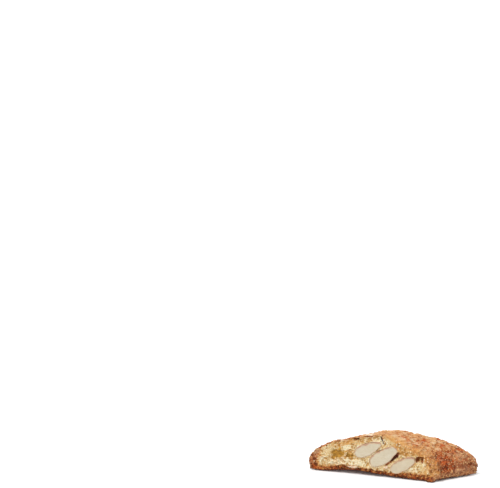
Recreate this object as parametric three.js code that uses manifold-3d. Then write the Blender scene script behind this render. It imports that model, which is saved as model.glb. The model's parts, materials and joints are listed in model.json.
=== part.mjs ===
// An almond biscotto: one slice of a baked almond loaf, cut on the slant.
// Millimetres, +Z up. X runs along the two cut faces, Y through the slice, from the near
// face to the far one, and the slice rests on the loaf's flat base at z = 0.
import * as THREE from "three";
import { mergeVertices } from "three/addons/utils/BufferGeometryUtils.js";
import { ImprovedNoise } from "three/addons/math/ImprovedNoise.js";
import Module from "manifold-3d";

// ---- The slice ----------------------------------------------------------------------
const THICKNESS = 18.5; // between the cut faces
const SLANT = 22.6; // the far face lies this far along +X
const WORN_EDGE = 0.35; // rounding where the crust meets a cut face

// The loaf's outline at each cut face, from the foot of the right nose over the ridge to
// the foot of the left nose: x from the middle of that face, z above the base.
const NEAR_OUTLINE = [
  [34.5, 0], [35.3, 4.0], [33.7, 11.2], [28.3, 16.4], [15.7, 22.0], [5.3, 25.6],
  [-8.4, 23.0], [-22.0, 19.0], [-33.4, 12.8], [-37.2, 5.6], [-36.0, 0],
];
const FAR_OUTLINE = [
  [35.2, 0], [36.3, 4.8], [34.7, 10.1], [26.7, 15.4], [13.5, 19.7], [2.0, 21.6],
  [-10.0, 22.6], [-20.5, 20.2], [-29.5, 14.6], [-34.5, 7.4], [-34.0, 0],
];

// The base is arched a little along the near face: places across it, and how far in it
// reaches as a share of the slice.
const ARCH = { height: 1.6, from: -28, peak: -9, to: 28, reach: 0.45 };

// ---- Almonds ------------------------------------------------------------------------
// Each kernel is cut flat by the face it shows in. x and z place its middle on that face,
// turn is the angle of its long axis above +X in degrees, depth is how far it reaches in,
// and taper is 0.5 for an elliptic outline, less for a blunter one and more for a sharper.
const GAP = 0.3; // clearance of a kernel in its pocket
const EGG = 0.16; // how much slimmer a kernel is towards its tip
const NEAR_ALMONDS = [
  { x: -2.2, z: 16.1, turn: 28, length: 16.2, width: 6.2, depth: 5.6, taper: 0.5 },
  { x: 6.8, z: 12.6, turn: 36, length: 17.6, width: 7.3, depth: 6.2, taper: 0.46 },
  { x: 18.3, z: 8.7, turn: 34, length: 15.0, width: 6.0, depth: 5.2, taper: 0.42 },
];
const FAR_ALMONDS = [
  { x: -19.5, z: 9.6, turn: 24, length: 17.0, width: 7.2, depth: 5.8, taper: 0.5 },
  { x: -4.6, z: 14.6, turn: -14, length: 16.0, width: 6.6, depth: 5.4, taper: 0.6 },
  { x: 6.8, z: 7.4, turn: 38, length: 13.0, width: 7.4, depth: 6.0, taper: 0.42 },
  { x: 21.6, z: 8.6, turn: -30, length: 11.0, width: 6.0, depth: 4.6, taper: 0.6 },
];

// ---- Hollows ------------------------------------------------------------------------
// Open bubbles and gaps of the crumb at a cut face: place, turn and size as above.
const NEAR_HOLLOWS = [
  { x: -19.4, z: 11.4, turn: 8, length: 8.6, width: 5.6, depth: 1.7, taper: 0.46 },
  { x: -12.6, z: 11.0, turn: 8, length: 6.4, width: 2.0, depth: 1.2, taper: 0.6 },
  { x: 27.4, z: 13.0, turn: 12, length: 4.4, width: 3.0, depth: 2.6, taper: 0.46 },
  { x: 12.8, z: 12.6, turn: 38, length: 7.4, width: 1.7, depth: 2.0, taper: 0.6 },
  { x: -9.0, z: 21.3, turn: 22, length: 3.0, width: 1.6, depth: 1.4, taper: 0.46 },
];
const FAR_HOLLOWS = [
  { x: -28.0, z: 8.2, turn: 60, length: 4.0, width: 2.6, depth: 1.8, taper: 0.46 },
  { x: -11.5, z: 6.0, turn: 10, length: 6.6, width: 2.4, depth: 1.6, taper: 0.6 },
  { x: 13.8, z: 13.2, turn: -24, length: 5.0, width: 3.4, depth: 2.2, taper: 0.46 },
];
// A crack through the ridge, opening at the near face: x and z of its two ends there.
const CRACK = { foot: [7.1, 19.6], mouth: [4.8, 27.0], width: 1.3, depth: 6.5 };
// A pit in the crust of the right flank: along the slice from the near face, height.
const PIT = { along: 0.8, z: 7.6, length: 3.4, width: 2.2, depth: 1.1 };

// ---- Relief -------------------------------------------------------------------------
const LUMP = { size: 7, height: 0.75 }; // swellings of the crust
const CRAG = { size: 3, height: 0.7 }; // broken, flaky crust
const CRUMB = { size: 3.4, height: 0.35 }; // unevenness of the cut faces

// ---- Fineness -----------------------------------------------------------------------
const DOME_STEPS = 70; // around the crust
const BASE_STEPS = 28; // across the base
const SLICE_STEPS = 15; // from face to face
const FACE_RINGS = 6; // rings in from the rim of a cut face
const CORE = { reach: 24, z: 8.5, rim: 0.1 }; // the stretch that those rings close on
const KERNEL_SIDES = 16;
const KERNEL_RINGS = 11;
const HOLLOW_SIDES = 10;
const HOLLOW_RINGS = 6;

const CRUMB_COLOUR = 0xd6b483;
const KERNEL_COLOUR = 0xd8c9ac;

const wasm = await Module();
wasm.setup();
const perlin = new ImprovedNoise();
const noise = (p, size) => perlin.noise(p.x / size, p.y / size, p.z / size);
const ridges = (p, size) => 0.5 - 2 * Math.abs(noise(p, size));

// ---- From geometry to solid and back --------------------------------------------------
function solidOf(geometry) {
  const bare = new THREE.BufferGeometry().setIndex(geometry.index);
  bare.setAttribute("position", geometry.getAttribute("position"));
  const merged = mergeVertices(bare, 1e-4);
  const corners = merged.index.array;
  const triangles = [];
  for (let i = 0; i < corners.length; i += 3) {
    const [a, b, c] = corners.slice(i, i + 3);
    if (a !== b && b !== c && c !== a) triangles.push(a, b, c);
  }
  return new wasm.Manifold(
    new wasm.Mesh({
      numProp: 3,
      vertProperties: new Float32Array(merged.getAttribute("position").array),
      triVerts: new Uint32Array(triangles),
    }),
  );
}

function geometryOf(solid) {
  const { vertProperties, triVerts } = solid.getMesh();
  const geometry = new THREE.BufferGeometry();
  geometry.setAttribute("position", new THREE.BufferAttribute(vertProperties, 3));
  geometry.setIndex(new THREE.BufferAttribute(triVerts, 1));
  geometry.computeVertexNormals();
  return geometry;
}

// ---- The loaf -------------------------------------------------------------------------
// One face's outline as points, anticlockwise seen from the near side, base first.
function outlinePoints(outline) {
  const ends = outline.map(([x, z]) => new THREE.Vector3(x, 0, z));
  const dome = new THREE.CatmullRomCurve3(ends, false, "centripetal");
  const base = new THREE.LineCurve3(ends.at(-1), ends[0]);
  return [
    ...base.getSpacedPoints(BASE_STEPS).slice(0, -1),
    ...dome.getSpacedPoints(DOME_STEPS).slice(0, -1),
  ];
}

const nearPoints = outlinePoints(NEAR_OUTLINE);
const farPoints = outlinePoints(FAR_OUTLINE);

// The outline through the slice at t, from 0 at the near face to 1 at the far one.
function sectionAt(t) {
  return nearPoints.map((p, i) => p.clone().lerp(farPoints[i], t));
}

// Raises what lies low on the near side by the arch of the base.
function arched(p, across, t) {
  const { smoothstep } = THREE.MathUtils;
  const along = smoothstep(across, ARCH.from, ARCH.peak) - smoothstep(across, ARCH.peak, ARCH.to);
  const fade = (1 - smoothstep(t, 0, ARCH.reach)) * (1 - smoothstep(p.z, 0, 7));
  p.z += ARCH.height * along * fade;
  return p;
}

// Crust: pushed in and out along its outward direction, and worn back at the cut edges.
function crustPoint(section, i, t) {
  const n = section.length;
  const along = section[(i + 1) % n].clone().sub(section[(i + n - 1) % n]);
  const outward = new THREE.Vector3(along.z, 0, -along.x).normalize();
  const p = section[i].clone();
  p.x += SLANT * t;
  p.y = THICKNESS * t;
  if (section[i].z < 1e-6) return arched(p, section[i].x, t);
  const lift = THREE.MathUtils.smoothstep(p.z, 0, 2.5);
  const fromEdge = Math.min(t, 1 - t) * THICKNESS;
  const worn = WORN_EDGE * (1 - THREE.MathUtils.smoothstep(fromEdge, 0, WORN_EDGE * 2));
  const relief =
    LUMP.height * noise(p, LUMP.size) +
    CRAG.height * ridges(p, CRAG.size) * THREE.MathUtils.smoothstep(fromEdge, 0, 2);
  p.addScaledVector(outward, lift * (relief - worn));
  return arched(p, section[i].x, t);
}

// Cut face: share is 1 at the rim and falls towards the core.
function facePoint(section, i, t, share) {
  const rim = section[i];
  const core = rim.clone().setZ(CORE.z);
  core.x = THREE.MathUtils.clamp(rim.x, -CORE.reach, CORE.reach);
  const p = core.lerp(rim, share);
  const across = p.x;
  p.x += SLANT * t;
  p.y = THICKNESS * t;
  const inward = t < 0.5 ? 1 : -1;
  const rough = THREE.MathUtils.smoothstep(share, CORE.rim, 3 * CORE.rim);
  p.y += inward * CRUMB.height * (0.5 + 0.5 * rough * noise(p, CRUMB.size));
  return arched(p, across, t);
}

function loaf() {
  const rings = [];
  const shares = Array.from(
    { length: FACE_RINGS },
    (_, k) => CORE.rim + ((1 - CORE.rim) * k) / FACE_RINGS,
  );
  const near = sectionAt(0);
  const far = sectionAt(1);
  shares.forEach((share) => rings.push(near.map((_, i) => facePoint(near, i, 0, share))));
  const depths = [0, WORN_EDGE / THICKNESS];
  for (let k = 1; k < SLICE_STEPS; k++) depths.push(k / SLICE_STEPS);
  depths.push(1 - WORN_EDGE / THICKNESS, 1);
  for (const t of depths) {
    const section = sectionAt(t);
    rings.push(section.map((_, i) => crustPoint(section, i, t)));
  }
  shares.reverse();
  shares.forEach((share) => rings.push(far.map((_, i) => facePoint(far, i, 1, share))));

  const n = near.length;
  const faces = [];
  for (let k = 0; k + 1 < rings.length; k++) {
    for (let i = 0; i < n; i++) {
      const a = k * n + i;
      const b = k * n + ((i + 1) % n);
      faces.push(a, b + n, b, a, a + n, b + n);
    }
  }
  const flat = (ring) => ring.map((p) => new THREE.Vector2(p.x, p.z));
  for (const [a, b, c] of THREE.ShapeUtils.triangulateShape(flat(rings[0]), []))
    faces.push(a, b, c);
  const last = (rings.length - 1) * n;
  for (const [a, b, c] of THREE.ShapeUtils.triangulateShape(flat(rings.at(-1)), []))
    faces.push(last + a, last + c, last + b);
  const geometry = new THREE.BufferGeometry().setFromPoints(rings.flat());
  geometry.setIndex(faces);
  return geometry;
}

// ---- Kernels and hollows --------------------------------------------------------------
// A whole kernel round its middle: long axis turned in the face, depth along Y.
function kernel(size, grow, sides, rings) {
  const geometry = new THREE.SphereGeometry(1, sides, rings);
  geometry.rotateZ(Math.PI / 2);
  const at = geometry.getAttribute("position");
  for (let i = 0; i < at.count; i++) {
    const s = THREE.MathUtils.clamp(at.getX(i), -1, 1);
    const [y, z] = [at.getY(i), at.getZ(i)];
    const girth = ((1 - s * s) ** size.taper * (1 - EGG * s)) / Math.hypot(y, z, 1e-9);
    at.setXYZ(
      i,
      s * (size.length / 2 + grow),
      y * girth * (size.depth + grow),
      z * girth * (size.width / 2 + grow),
    );
  }
  geometry.rotateY(THREE.MathUtils.degToRad(-size.turn));
  return geometry;
}

// The same, set in its face.
function inFace(size, far, grow, sides, rings) {
  const geometry = kernel(size, grow, sides, rings);
  return geometry.translate(size.x + (far ? SLANT : 0), far ? THICKNESS : 0, size.z);
}

// All that lies between the planes of the two cut faces.
function betweenFaces() {
  const box = new THREE.BoxGeometry(200, THICKNESS, 200);
  return solidOf(box.translate(0, THICKNESS / 2, 0));
}

function crackWedge() {
  const [fx, fz] = CRACK.foot;
  const [mx, mz] = CRACK.mouth;
  const half = CRACK.width / 2;
  const shape = new THREE.Shape();
  shape.moveTo(fx, fz);
  shape.lineTo(mx + half, mz);
  shape.lineTo(mx - half, mz);
  shape.closePath();
  const wedge = new THREE.ExtrudeGeometry(shape, { depth: 1, bevelEnabled: false });
  // It narrows to nothing at its depth.
  const at = wedge.getAttribute("position");
  for (let i = 0; i < at.count; i++) {
    const deep = at.getZ(i);
    const share = (at.getY(i) - fz) / (mz - fz);
    const line = fx + (mx - fx) * share;
    const x = line + (at.getX(i) - line) * (1 - 0.9 * deep);
    at.setXYZ(i, x + 4 * deep, -1 + (CRACK.depth + 1) * deep, at.getY(i));
  }
  // Extrude's X, Y and depth became X, Z and Y, which turned the faces round.
  const index = wedge.index ? wedge.index.array : [...Array(at.count).keys()];
  wedge.setIndex(Array.from(index).reverse());
  return wedge;
}

function flankPit() {
  const pit = kernel({ ...PIT, turn: 0, taper: 0.5 }, 0, HOLLOW_SIDES, HOLLOW_RINGS);
  const section = sectionAt(PIT.along).filter((p) => p.x > 0 && p.z <= PIT.z);
  const flank = section.at(-1);
  pit.rotateZ(Math.atan2(THICKNESS, SLANT));
  return pit.translate(flank.x + SLANT * PIT.along, THICKNESS * PIT.along, PIT.z);
}

// ---- The model ------------------------------------------------------------------------
const slab = betweenFaces();
const almonds = [
  ...NEAR_ALMONDS.map((size, i) => ({ name: `almond_near_${i + 1}`, size, far: false })),
  ...FAR_ALMONDS.map((size, i) => ({ name: `almond_far_${i + 1}`, size, far: true })),
];

function almondMesh({ name, size, far }) {
  const whole = solidOf(inFace(size, far, 0, KERNEL_SIDES, KERNEL_RINGS));
  const material = new THREE.MeshStandardMaterial({
    color: KERNEL_COLOUR,
    roughness: 0.6,
    metalness: 0,
  });
  const mesh = new THREE.Mesh(geometryOf(whole.intersect(slab)), material);
  mesh.name = name;
  return mesh;
}

function biscuitMesh() {
  let solid = solidOf(loaf());
  const cut = (geometry) => {
    solid = solid.subtract(solidOf(geometry));
  };
  for (const { size, far } of almonds)
    cut(inFace(size, far, GAP, KERNEL_SIDES, KERNEL_RINGS));
  for (const size of NEAR_HOLLOWS) cut(inFace(size, false, 0, HOLLOW_SIDES, HOLLOW_RINGS));
  for (const size of FAR_HOLLOWS) cut(inFace(size, true, 0, HOLLOW_SIDES, HOLLOW_RINGS));
  cut(crackWedge());
  cut(flankPit());
  const material = new THREE.MeshStandardMaterial({
    color: CRUMB_COLOUR,
    roughness: 0.85,
    metalness: 0,
  });
  const mesh = new THREE.Mesh(geometryOf(solid), material);
  mesh.name = "biscuit";
  return mesh;
}

// The model's origin is on the floor under the middle of its bounding box.
const slice = new THREE.Group();
slice.add(biscuitMesh(), ...almonds.map(almondMesh));
const bounds = new THREE.Box3().setFromObject(slice);
const middle = bounds.getCenter(new THREE.Vector3());
slice.position.set(-middle.x, -middle.y, -bounds.min.z);

const biscotto = new THREE.Group();
biscotto.add(slice);

export default biscotto;
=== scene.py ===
"""Almond biscotto: one slanting slice of a baked almond loaf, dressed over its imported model.

X runs along the two cut faces, Y through the slice, Z up from the baked base. Points and
settings are in metres. What steers a mark, a mask or a colour is in millimetres: across and
up on a cut face, from the middle of its foot, and away from crust, base, kernel or crack.
"""

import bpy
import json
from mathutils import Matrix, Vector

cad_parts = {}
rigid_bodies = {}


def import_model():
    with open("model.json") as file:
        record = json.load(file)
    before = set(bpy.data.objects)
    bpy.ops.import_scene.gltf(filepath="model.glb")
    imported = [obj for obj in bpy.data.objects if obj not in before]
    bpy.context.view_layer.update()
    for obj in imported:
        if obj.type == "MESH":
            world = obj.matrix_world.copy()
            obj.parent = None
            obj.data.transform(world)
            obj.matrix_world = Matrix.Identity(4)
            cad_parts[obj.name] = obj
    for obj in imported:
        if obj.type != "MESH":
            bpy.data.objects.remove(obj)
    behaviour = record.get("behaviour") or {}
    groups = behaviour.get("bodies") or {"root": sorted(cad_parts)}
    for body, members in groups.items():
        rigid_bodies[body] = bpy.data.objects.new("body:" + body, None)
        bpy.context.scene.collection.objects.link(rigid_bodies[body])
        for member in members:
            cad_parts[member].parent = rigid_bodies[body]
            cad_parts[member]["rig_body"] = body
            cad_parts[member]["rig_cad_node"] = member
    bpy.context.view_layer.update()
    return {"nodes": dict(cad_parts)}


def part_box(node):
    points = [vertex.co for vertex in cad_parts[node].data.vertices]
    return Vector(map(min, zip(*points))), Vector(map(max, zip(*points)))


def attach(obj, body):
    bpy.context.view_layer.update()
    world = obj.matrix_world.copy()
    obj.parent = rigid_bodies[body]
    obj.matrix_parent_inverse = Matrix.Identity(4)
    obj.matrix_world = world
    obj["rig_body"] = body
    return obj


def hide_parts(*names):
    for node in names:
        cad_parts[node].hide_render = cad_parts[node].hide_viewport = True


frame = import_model()

import json
from math import cos, pi, radians, sin, tau

import bpy
import numpy as np
from mathutils import Euler, Vector, noise
from mathutils.bvhtree import BVHTree
from mathutils.kdtree import KDTree

bl_info = {
    "name": "Almond Biscotto",
    "version": (1, 0, 0),
    "blender": (4, 5, 0),
    "location": "3D View > Sidebar > Biscotto",
    "description": "Finishes a slice of almond biscotto: dough, kernels, sugar, crumbs and stage",
    "category": "Add Mesh",
}

MM = 0.001
DOUGH_LOW, DOUGH_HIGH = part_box("biscuit")
NEAR_Y, FAR_Y = DOUGH_LOW.y, DOUGH_HIGH.y
# The middle of the near cut face's foot, and how far the slant carries the far one along X.
NEAR_X = -10.838 * MM
SLANT = 22.6 * MM
KERNELS = [name for name in sorted(frame["nodes"]) if name.startswith("almond")]
# How rosy each kernel is, in turn.
ROSY = (0.4, 0.2, 0.6, 0.1, 0.2, 0.1, 0.5)


def srgb(red, green, blue):
    """Linear colour of an 8-bit display colour."""
    shares = [value / 255 for value in (red, green, blue)]
    return tuple(s / 12.92 if s < 0.04045 else ((s + 0.055) / 1.055) ** 2.4 for s in shares)


def length(name, description, default_mm, soft_max_mm):
    """A length setting, given here in millimetres and kept in metres."""
    return bpy.props.FloatProperty(
        name=name, description=description, default=default_mm * MM, min=0,
        soft_max=soft_max_mm * MM, precision=5, subtype="DISTANCE", unit="LENGTH",
    )


def tally(name, description, default, least=0):
    """A setting that counts pieces or faces."""
    return bpy.props.IntProperty(
        name=name, description=description, default=default, min=least,
    )


def colour(name, description, default):
    """A colour setting."""
    return bpy.props.FloatVectorProperty(
        name=name, description=description, default=srgb(*default), size=3,
        min=0, max=1, subtype="COLOR",
    )


# ---- Settings ----


class BiscottoSizes(bpy.types.PropertyGroup):
    """Sizes and counts that shape the slice's surface."""

    dough_step: length("Dough step", "Spacing of the dough's points", 0.26, 1)
    kernel_step: length("Kernel step", "Spacing of a kernel's points", 0.2, 1)
    swell: length("Swell", "Height of the crust's broad lumps", 1.3, 3)
    knob: length("Knob", "Height of the crust's knobs", 1.2, 3)
    pebble: length("Pebble", "Height of the grains between the knobs", 0.5, 2)
    crust_grit: length("Crust grit", "Height of the crust's grit", 0.6, 1)
    crumb_clump: length("Crumb clump", "Height of the crumb's clumps", 0.7, 2)
    crumb_grit: length("Crumb grit", "Height of the torn crumb", 0.8, 1)
    pore: length("Pore", "Radius of a common pore in the crumb", 0.4, 1)
    gap: length("Gap", "Depth of the crack and of dark gaps in the crumb", 1.8, 4)
    flake: length("Flake", "Height of the loose flakes of crust", 0.45, 1)
    base_grit: length("Base grit", "Depth of the pits in the base", 0.4, 1)
    curl: length("Curl", "Lift of the base's edges off the floor", 0.6, 2)
    warp: length("Warp", "Extra lift of the near foot left of its middle", 0.8, 2)
    toe: length("Toe", "How far the sharp corner at the foot spreads", 0.6, 2)
    skin: length("Skin", "Height of the folds in an almond's skin", 0.2, 1)
    bulge: length("Bulge", "Unevenness of an almond's outline", 1.4, 3)
    snug: length("Snug", "How far a kernel swells into its pocket", 0.5, 1)
    blush: length("Blush", "Width of skin left on an almond's upper side", 0.7, 1)
    crystal: length("Crystal", "Width of a grain of sugar", 0.46, 1)
    crumb: length("Crumb", "Width of a loose crumb", 0.45, 2)
    pores: tally("Pores", "Pores in the two cut faces", 1300)
    crystals: tally("Crystals", "Grains of sugar on the crust", 1300)
    crumbs: tally("Crumbs", "Crumbs clinging to the cut faces", 900)
    dough_faces: tally("Dough faces", "Most triangles that the dough may have", 196000, 1000)


class BiscottoColours(bpy.types.PropertyGroup):
    """Colours of the bake."""

    cream: colour("Cream", "Driest, palest crumb", (232, 220, 186))
    crumb: colour("Crumb", "Middle tone of the crumb", (206, 178, 126))
    mustard: colour("Mustard", "Moist crumb and the inside of pores", (190, 134, 62))
    golden: colour("Golden", "Crumb next to the crust", (204, 150, 84))
    film: colour("Film", "Highest, driest crust", (205, 158, 108))
    tan: colour("Tan", "Dry crust low on the flanks and at the blunt ends", (182, 124, 80))
    flake: colour("Flake", "Loose flakes of crust", (232, 208, 182))
    crust: colour("Crust", "Lighter tone of the crust", (179, 111, 57))
    rust: colour("Rust", "Deep orange of the flanks", (172, 75, 18))
    bake: colour("Bake", "Darker tone of the crust", (130, 62, 26))
    # Scorch is also painted shade: in the dark marks of gaps, under kernels and in the crack, and,
    # darkened, on the foot's lowest edge.
    scorch_and_shade: colour("Scorch", "Cracks and pits of the crust", (94, 38, 18))
    syrup: colour("Syrup", "Glassy, sugar-soaked crumb", (197, 139, 22))
    almond: colour("Almond", "Cut kernel", (195, 186, 165))
    skin: colour("Skin", "Almond skin", (182, 141, 114))
    sugar: colour("Sugar", "Grains of sugar", (226, 182, 126))
    caramel: colour("Caramel", "Browned grains of sugar", (142, 76, 36))


# ---- Mesh helpers ----

WELD = 1e-6  # corners closer than this are one
WEIGHT_STEPS = 100  # that a vertex group's weights are rounded to


def activate(piece):
    """Selects one object only and makes it the active one."""
    bpy.ops.object.select_all(action="DESELECT")
    piece.select_set(True)
    bpy.context.view_layer.objects.active = piece


def cad_copy(node, name):
    """A copy of a CAD node with its loose triangles merged, free to be shaped."""
    activate(frame["nodes"][node])
    bpy.ops.object.duplicate()
    piece = bpy.context.active_object
    bpy.ops.object.parent_clear(type="CLEAR_KEEP_TRANSFORM")
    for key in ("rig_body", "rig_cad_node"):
        if key in piece:
            del piece[key]
    piece.name = piece.data.name = name
    piece.data.materials.clear()
    bpy.ops.object.mode_set(mode="EDIT")
    bpy.ops.mesh.select_all(action="SELECT")
    bpy.ops.mesh.remove_doubles(threshold=WELD)
    bpy.ops.object.mode_set(mode="OBJECT")
    return piece


def apply(piece, kind, **settings):
    """Adds a modifier with these settings and applies it."""
    activate(piece)
    modifier = piece.modifiers.new(kind.title(), kind)
    for key, value in settings.items():
        setattr(modifier, key, value)
    bpy.ops.object.modifier_apply(modifier=modifier.name)


def points(piece):
    """Positions and normals of a mesh's vertices."""
    count = len(piece.data.vertices)
    places, normals = np.empty(count * 3), np.empty(count * 3)
    piece.data.vertices.foreach_get("co", places)
    piece.data.vertex_normals.foreach_get("vector", normals)
    return places.reshape(-1, 3), normals.reshape(-1, 3)


def move(piece, places):
    """Puts a mesh's vertices in these places."""
    piece.data.vertices.foreach_set("co", places.ravel())
    piece.data.update()


def ease(value, low, high):
    """Smooth step from 0 at low to 1 at high."""
    t = np.clip((value - low) / (high - low), 0, 1)
    return t * t * (3 - 2 * t)


def fade(value, low, high):
    """Smooth step from 1 at low to 0 at high."""
    return ease(-value, -high, -low)


def drift(places, size_mm):
    """Smooth noise at each place, from about -1 to 1, with swings of this size."""
    return np.array([noise.noise(Vector(place) / (size_mm * MM)) for place in places])


def pick(rng, choices, count, chance):
    """This many of the choices, each as likely as its chance says."""
    return rng.choice(choices, count, replace=False, p=chance / chance.sum())


def store(piece, name, values):
    """Keeps one number for each vertex as an attribute."""
    attribute = piece.data.attributes.get(name)
    attribute = attribute or piece.data.attributes.new(name, "FLOAT", "POINT")
    attribute.data.foreach_set("value", np.asarray(values, np.float32))


def group(piece, name, weights):
    """Keeps one weight for each vertex, from 0 to 1, as a vertex group."""
    made = piece.vertex_groups.new(name=name)
    steps = np.round(np.clip(weights, 0, 1) * WEIGHT_STEPS).astype(int)
    for step in range(1, WEIGHT_STEPS + 1):
        members = np.flatnonzero(steps == step).tolist()
        if members:
            made.add(members, step / WEIGHT_STEPS, "REPLACE")


def texture(name, kind, scale_mm, **settings):
    """A procedural texture for displacement."""
    made = bpy.data.textures.new(name, kind)
    made.noise_scale = scale_mm * MM
    for key, value in settings.items():
        setattr(made, key, value)
    return made


def push(piece, height, weights, pattern=None, middle=0.0):
    """Moves the surface outwards within a vertex group, by a texture where one is given."""
    apply(
        piece, "DISPLACE", texture=pattern, texture_coords="LOCAL", direction="NORMAL",
        strength=height, mid_level=middle, vertex_group=weights,
    )


def smoothed(piece, values, rounds):
    """Averages a value of each vertex with its neighbours'."""
    edges = np.empty(len(piece.data.edges) * 2, int)
    piece.data.edges.foreach_get("vertices", edges)
    starts, ends = edges.reshape(-1, 2).T
    values = np.array(values, float)
    neighbours = np.bincount(np.r_[starts, ends], minlength=len(values))
    neighbours = neighbours.reshape(-1, *[1] * (values.ndim - 1))
    for _ in range(rounds):
        added = values.copy()
        np.add.at(added, starts, values[ends])
        np.add.at(added, ends, values[starts])
        values = added / (neighbours + 1)
    return values


def flatten(piece):
    """Brings what hangs below the floor back up to it."""
    places = points(piece)[0]
    places[:, 2] = np.maximum(places[:, 2], 0)
    move(piece, places)


def relief(piece, rounds):
    """How far each vertex stands above its surroundings, from -1 to 1."""
    places, normals = points(piece)
    height = ((places - smoothed(piece, places, rounds)) * normals).sum(1)
    return np.clip(height / (3 * height.std()), -1, 1)


def search_tree(places):
    """A tree that finds the nearest of these places."""
    tree = KDTree(len(places))
    for index, place in enumerate(places):
        tree.insert(place, index)
    tree.balance()
    return tree


def nearest_mm(places, sources):
    """Distance in mm from each place to the nearest source, and that source's index."""
    tree = search_tree(sources)
    found = [tree.find(place)[1:] for place in places]
    return np.array([far for _, far in found]) / MM, np.array([index for index, _ in found])


def finish(piece, material, slot, *nodes):
    """Drops a piece's weights, gives it its material and body, and hides the CAD nodes it stands
    for; slot is not used.
    """
    piece.vertex_groups.clear()
    piece.data.materials.append(material)
    activate(piece)
    bpy.ops.object.shade_smooth()
    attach(piece, "root")
    if nodes:
        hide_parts(*nodes)


# ---- Node helpers ----

# The sockets of a Mix node that is set to colours.
MIX_SHARE, MIX_FIRST, MIX_SECOND, MIX_RESULT = 0, 6, 7, 2


def add(tree, kind, values=(), **settings):
    """A shader node with its settings, and values or links for its inputs."""
    made = tree.nodes.new(kind)
    for key, value in settings.items():
        setattr(made, key, value)
    for key, value in dict(values).items():
        if isinstance(value, bpy.types.NodeSocket):
            tree.links.new(value, made.inputs[key])
        else:
            made.inputs[key].default_value = value
    return made


def ramp(tree, value, low, high, start=0.0, end=1.0):
    """A number that runs from start to end while the value goes from low to high."""
    made = add(tree, "ShaderNodeValToRGB", {"Fac": value})
    for stop, place, grey in zip(made.color_ramp.elements, (low, high), (start, end)):
        stop.position = place
        stop.color = (grey, grey, grey, 1)
    return made.outputs["Color"]


def opaque(value):
    """A plain colour with its alpha, or a link as it is."""
    return value if isinstance(value, bpy.types.NodeSocket) else (*value, 1)


def blend(tree, share, first, second):
    """First colour where share is 0, second where it is 1."""
    values = {MIX_SHARE: share, MIX_FIRST: opaque(first), MIX_SECOND: opaque(second)}
    return add(tree, "ShaderNodeMix", values, data_type="RGBA").outputs[MIX_RESULT]


def sums(tree, operation, first, second, third=0.0):
    """One step of arithmetic."""
    values = {0: first, 1: second, 2: third}
    return add(tree, "ShaderNodeMath", values, operation=operation).outputs[0]


def total(tree, *parts, bias=0.0):
    """Sum of values, each times its own weight, plus a bias."""
    value = bias
    for part, weight in parts:
        value = sums(tree, "MULTIPLY_ADD", part, weight, value)
    return value


def cover(tree, under, over, mask, strength):
    """One colour laid over another where a mask is 1, at this strength."""
    return blend(tree, sums(tree, "MULTIPLY", mask, strength), under, over)


def shaded(tone, share):
    """A plain colour times a share, or each of its channels times its own."""
    shares = share if isinstance(share, tuple) else (share,) * 3
    return tuple(a * b for a, b in zip(tone, shares))


def scaled(tree, place, scale):
    """Coordinates with each axis times its own scale."""
    return add(tree, "ShaderNodeMapping", {"Vector": place, "Scale": scale}).outputs["Vector"]


def in_mm(tree):
    """Object coordinates in millimetres."""
    return scaled(tree, add(tree, "ShaderNodeTexCoord").outputs["Object"], (1 / MM,) * 3)


def grains(tree, place, size_mm, seed=0.0, detail=3.0):
    """Noise with features of this size."""
    scale = sums(tree, "DIVIDE", 1.0, size_mm)
    values = {"Vector": place, "W": seed, "Scale": scale, "Detail": detail, "Roughness": 0.6}
    return add(tree, "ShaderNodeTexNoise", values, noise_dimensions="4D").outputs["Fac"]


def kept(tree, name):
    """A stored attribute."""
    return add(tree, "ShaderNodeAttribute", attribute_name=name).outputs["Fac"]


def mottle_group():
    """The grain that all finishes share: a broad and a fine mottle, and both as a height."""
    made = bpy.data.node_groups.get("Mottle")
    if made:
        return made
    made = bpy.data.node_groups.new("Mottle", "ShaderNodeTree")
    for name in ("Broad size", "Fine size", "Seed"):
        made.interface.new_socket(name, in_out="INPUT", socket_type="NodeSocketFloat")
    for name in ("Broad", "Fine", "Height"):
        made.interface.new_socket(name, in_out="OUTPUT", socket_type="NodeSocketFloat")
    given, place = add(made, "NodeGroupInput").outputs, in_mm(made)
    broad = grains(made, place, given["Broad size"], given["Seed"])
    fine = grains(made, place, given["Fine size"], given["Seed"])
    height = total(made, (broad, 0.4), (fine, 0.6))
    add(made, "NodeGroupOutput", {"Broad": broad, "Fine": fine, "Height": height})
    return made


def mottle(tree, broad_mm, fine_mm, seed):
    """The shared grain at this finish's own sizes."""
    values = {"Broad size": broad_mm, "Fine size": fine_mm, "Seed": seed}
    return add(tree, "ShaderNodeGroup", values, node_tree=mottle_group()).outputs


def new_material(name):
    """An empty material and its node tree."""
    made = bpy.data.materials.new(name)
    made.use_nodes = True
    made.node_tree.nodes.clear()
    return made, made.node_tree


def surface(tree, **inputs):
    """Gives a material the principled shader with these inputs."""
    names = {key.replace("_", " "): value for key, value in inputs.items()}
    shader = add(tree, "ShaderNodeBsdfPrincipled", names)
    add(tree, "ShaderNodeOutputMaterial", {"Surface": shader.outputs[0]})


def fine_bump(tree, height, depth_mm):
    """Normals from a height between 0 and 1 that stands depth_mm high."""
    values = {"Height": height, "Distance": depth_mm * MM, "Strength": 1.0}
    return add(tree, "ShaderNodeBump", values).outputs["Normal"]


# ---- Marks of the bake ----

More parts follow.
